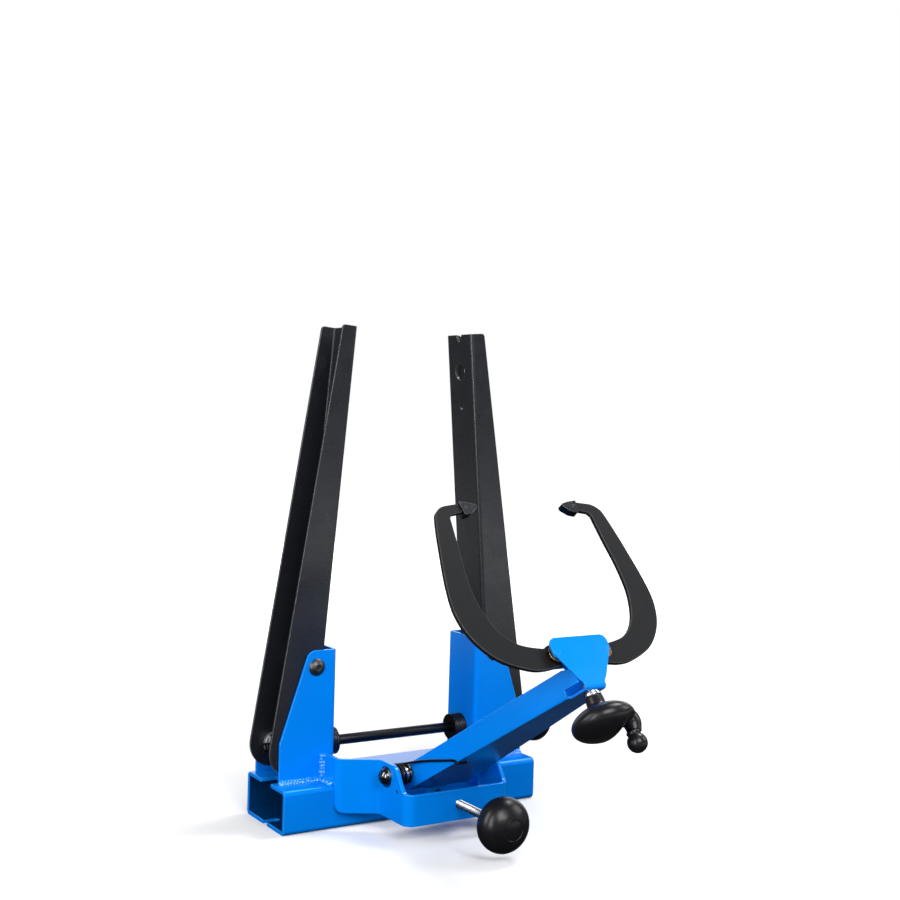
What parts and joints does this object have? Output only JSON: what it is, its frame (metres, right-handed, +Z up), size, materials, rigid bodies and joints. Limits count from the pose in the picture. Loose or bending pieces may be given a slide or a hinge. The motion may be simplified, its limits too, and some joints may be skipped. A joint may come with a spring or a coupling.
{
  "type": "wheel truing stand",
  "caption": "Bench stand for truing a bicycle wheel: leaning uprights on a threaded cross rod and a sprung calliper arm whose paired fingers close on the rim.",
  "frame": {"origin": "on the bench, midway between the uprights and straight under the axle", "axes": "+X along the axle to the right, -Y towards the calliper arm at the front, +Z up"},
  "size_m": [0.4026, 0.4675, 0.5702],
  "materials": {
    "blue_paint": "glossy blue powder coat on steel",
    "satin_black_paint": "satin black powder coat on steel",
    "finger_coat": "matte charcoal coat on steel",
    "black_oxide": "black oxide steel",
    "spring_wire": "black oiled spring steel",
    "zinc_plate": "zinc plated steel",
    "bronze": "turned bearing bronze",
    "knob_plastic": "glossy black moulded plastic"
  },
  "bodies": {
    "frame": {"base_tube": "blue_paint", "left_bracket": "blue_paint", "right_bracket": "blue_paint", "front_strap": "blue_paint", "weld_beads": "blue_paint", "pivot_bolts": "black_oxide", "pivot_nuts": "black_oxide", "pivot_sleeves": "zinc_plate", "thrust_washers": "bronze", "rod_bushes": "bronze", "arm_pivot_bolt": "black_oxide", "arm_pivot_nut": "black_oxide", "arm_spacers": "zinc_plate", "return_spring": "spring_wire", "height_nut": "blue_paint"},
    "left_upright": {"left_upright": "satin_black_paint"},
    "right_upright": {"right_upright": "satin_black_paint"},
    "rod": {"cross_rod": "black_oxide", "rod_collars": "black_oxide", "collar_screws": "zinc_plate", "width_knob": "knob_plastic"},
    "left_nut": {"left_trunnion_nut": "zinc_plate"},
    "right_nut": {"right_trunnion_nut": "zinc_plate"},
    "arm": {"caliper_arm": "blue_paint", "arm_bushes": "bronze", "head_rear_plate": "blue_paint", "finger_pins": "blue_paint", "finger_washers": "bronze", "crank_bush": "zinc_plate"},
    "left_finger": {"left_finger": "finger_coat", "left_finger_tip": "black_oxide", "left_tip_screw": "black_oxide"},
    "right_finger": {"right_finger": "finger_coat", "right_finger_tip": "black_oxide", "right_tip_screw": "black_oxide"},
    "yoke": {"caliper_yoke": "zinc_plate", "yoke_pins": "zinc_plate"},
    "crank": {"caliper_screw": "zinc_plate", "crank_washer": "zinc_plate", "screw_collar": "zinc_plate", "crank_knob": "knob_plastic", "grip_pin": "zinc_plate"},
    "grip": {"crank_grip": "knob_plastic"},
    "pad": {"height_pad": "black_oxide"},
    "height_screw": {"height_screw": "zinc_plate", "height_knob": "knob_plastic"}
  },
  "joints": [
    {"name": "left_upright_tilt", "type": "hinge", "parent": "frame", "child": "left_upright", "pos_m": [-0.1214, 0, 0.1792], "axis": [0, -1, 0], "range_deg": [-7, 4.4]},
    {"name": "right_upright_tilt", "type": "hinge", "parent": "frame", "child": "right_upright", "pos_m": [0.1214, 0, 0.1792], "axis": [0, 1, 0], "range_deg": [-7, 4.4]},
    {"name": "left_nut_slide", "type": "slide", "parent": "frame", "child": "left_nut", "axis": [1, 0, 0], "range_m": [-0.01304, 0.00819]},
    {"name": "right_nut_slide", "type": "slide", "parent": "frame", "child": "right_nut", "axis": [-1, 0, 0], "range_m": [-0.01304, 0.00819]},
    {"name": "width_rod_turn", "type": "hinge", "parent": "frame", "child": "rod", "pos_m": [0, 0, 0.0843], "axis": [1, 0, 0], "range_deg": [-469.3, 295]},
    {"name": "arm_tilt", "type": "hinge", "parent": "frame", "child": "arm", "pos_m": [0, -0.105, 0.0655], "axis": [-1, 0, 0], "range_deg": [-10, 22], "deforming": ["return_spring"]},
    {"name": "height_pad_slide", "type": "slide", "parent": "frame", "child": "pad", "axis": [0, 1, 0], "range_m": [-0.01119, 0.00509]},
    {"name": "height_knob_turn", "type": "hinge", "parent": "pad", "child": "height_screw", "pos_m": [0, -0.15, 0.038], "axis": [0, 1, 0], "range_deg": [-1343.1, 610.5]},
    {"name": "right_finger_swing", "type": "hinge", "parent": "arm", "child": "right_finger", "pos_m": [0.029, -0.356, 0.23973], "axis": [0, -0.7891, 0.6143], "range_deg": [-9, 17]},
    {"name": "left_finger_swing", "type": "hinge", "parent": "arm", "child": "left_finger", "pos_m": [-0.029, -0.356, 0.23973], "axis": [0, 0.7891, -0.6143], "range_deg": [-9, 17]},
    {"name": "yoke_slide", "type": "slide", "parent": "arm", "child": "yoke", "axis": [0, 0.6143, 0.7891], "range_m": [-0.00596, 0.00315]},
    {"name": "crank_turn", "type": "hinge", "parent": "arm", "child": "crank", "pos_m": [0, -0.38597, 0.19716], "axis": [0, 0.6143, 0.7891], "range_deg": [-715.1, 378.6]},
    {"name": "grip_spin", "type": "hinge", "parent": "crank", "child": "grip", "pos_m": [0.03, -0.41054, 0.1656], "axis": [0, 0.6143, 0.7891], "continuous": true}
  ],
  "couplings": [
    {"joint": "right_upright_tilt", "follows": "left_upright_tilt", "ratio": 1},
    {"joint": "left_nut_slide", "follows": "left_upright_tilt", "m_per_rad": 0.1036},
    {"joint": "right_nut_slide", "follows": "left_upright_tilt", "m_per_rad": 0.1036},
    {"joint": "width_rod_turn", "follows": "left_upright_tilt", "ratio": 65.094},
    {"joint": "height_pad_slide", "follows": "arm_tilt", "m_per_rad": -0.0283},
    {"joint": "height_knob_turn", "follows": "arm_tilt", "ratio": -59.271},
    {"joint": "left_finger_swing", "follows": "right_finger_swing", "ratio": 1},
    {"joint": "yoke_slide", "follows": "right_finger_swing", "m_per_rad": -0.0195},
    {"joint": "crank_turn", "follows": "right_finger_swing", "ratio": -40.841}
  ]
}
